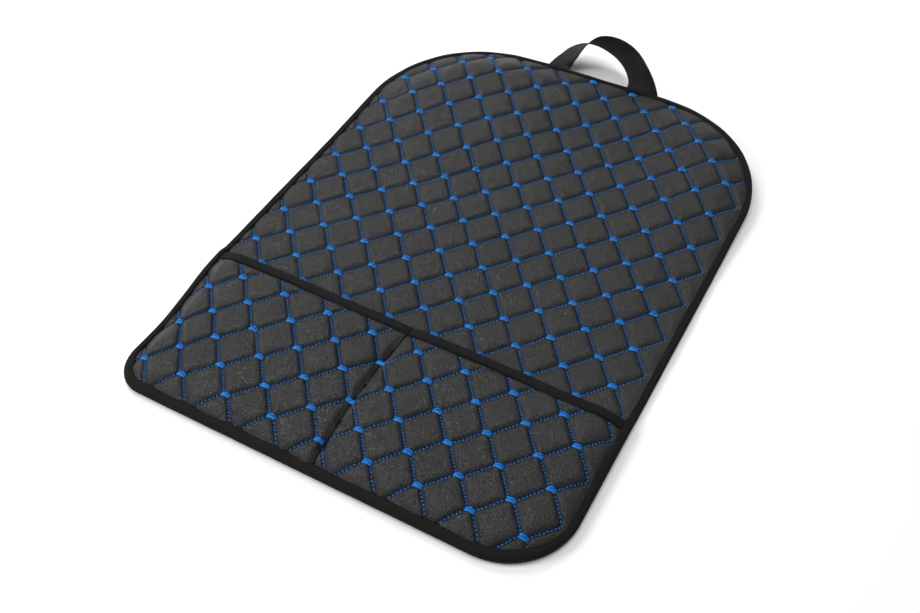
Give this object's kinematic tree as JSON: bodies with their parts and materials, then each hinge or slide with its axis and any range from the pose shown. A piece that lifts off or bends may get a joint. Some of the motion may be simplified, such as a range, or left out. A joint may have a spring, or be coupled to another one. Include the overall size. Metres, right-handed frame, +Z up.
{
  "type": "car seat back organizer",
  "caption": "Quilted faux leather seat back mat with rounded shoulders, a divided pocket across its foot, woven edge binding and a twisted webbing hanging loop.",
  "frame": {"origin": "middle of the mat's length and width, on the back face that it lies on", "axes": "+X across the mat to the right seen from above, +Y along the mat from the pocket to the hanging loop, +Z up out of the quilted face"},
  "size_m": [0.4536, 0.6751, 0.0511],
  "materials": {
    "faux_leather": "satin",
    "binding_tape": "matte",
    "webbing": "matte",
    "blue_thread": "satin",
    "black_thread": "satin"
  },
  "bodies": {
    "root": {"back_panel": "faux_leather", "back_quilting_thread": "blue_thread", "pocket_panel": "faux_leather", "pocket_quilting_thread": "blue_thread", "pocket_hem_tape": "binding_tape", "divider_seam": "black_thread", "edge_binding": "binding_tape", "webbing_loop": "webbing"}
  },
  "joints": []
}
